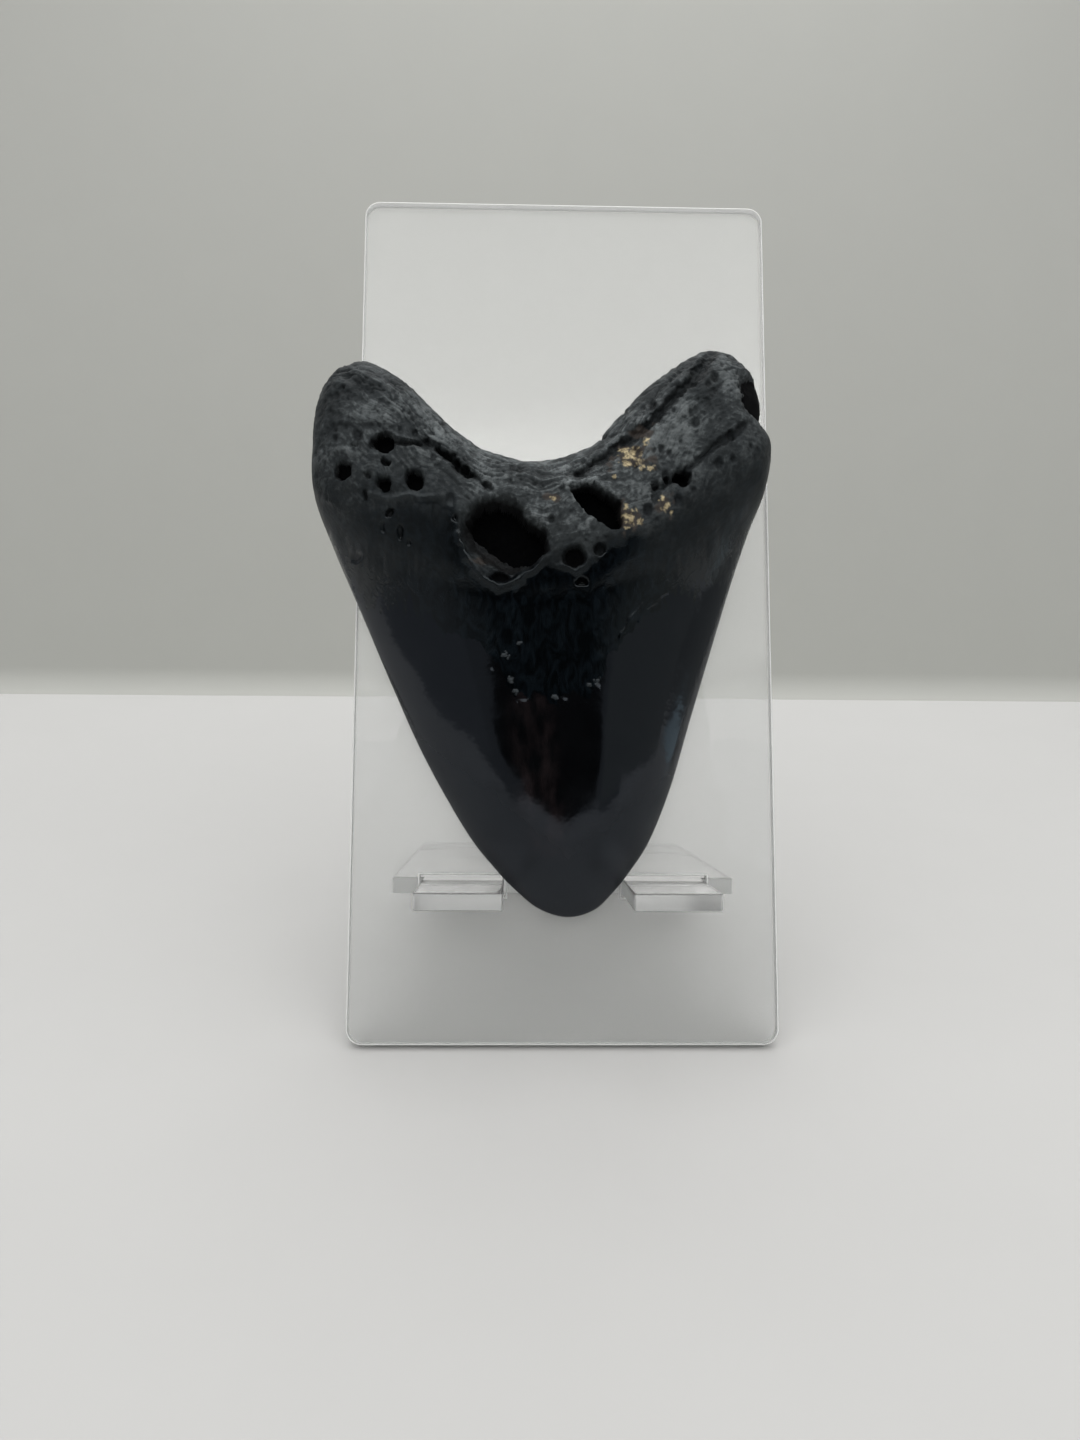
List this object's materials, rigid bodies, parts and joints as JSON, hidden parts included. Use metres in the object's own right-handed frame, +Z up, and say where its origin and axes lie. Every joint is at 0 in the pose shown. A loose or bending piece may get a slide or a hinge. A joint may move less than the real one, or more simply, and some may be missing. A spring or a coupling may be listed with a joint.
{
  "type": "fossil tooth on display stand",
  "caption": "Black fossil megalodon tooth, root up, leaning on a tilted clear acrylic plate and held by the prongs of a second sheet that also forms the rear leg.",
  "frame": {"origin": "middle of the whole object's box, on the table it stands on", "axes": "+Z up, +X to the viewer's right, +Y away from the viewer, the way the plate leans"},
  "size_m": [0.0872, 0.09, 0.1504],
  "materials": {
    "fossil": "matt pored root, worn glossy enamel",
    "plate_acrylic": "clear cast acrylic sheet, polished faces",
    "board_acrylic": "clear cast acrylic sheet, polished faces"
  },
  "bodies": {
    "root": {"tooth": "fossil", "back_plate": "plate_acrylic", "support_board": "board_acrylic"}
  },
  "joints": []
}
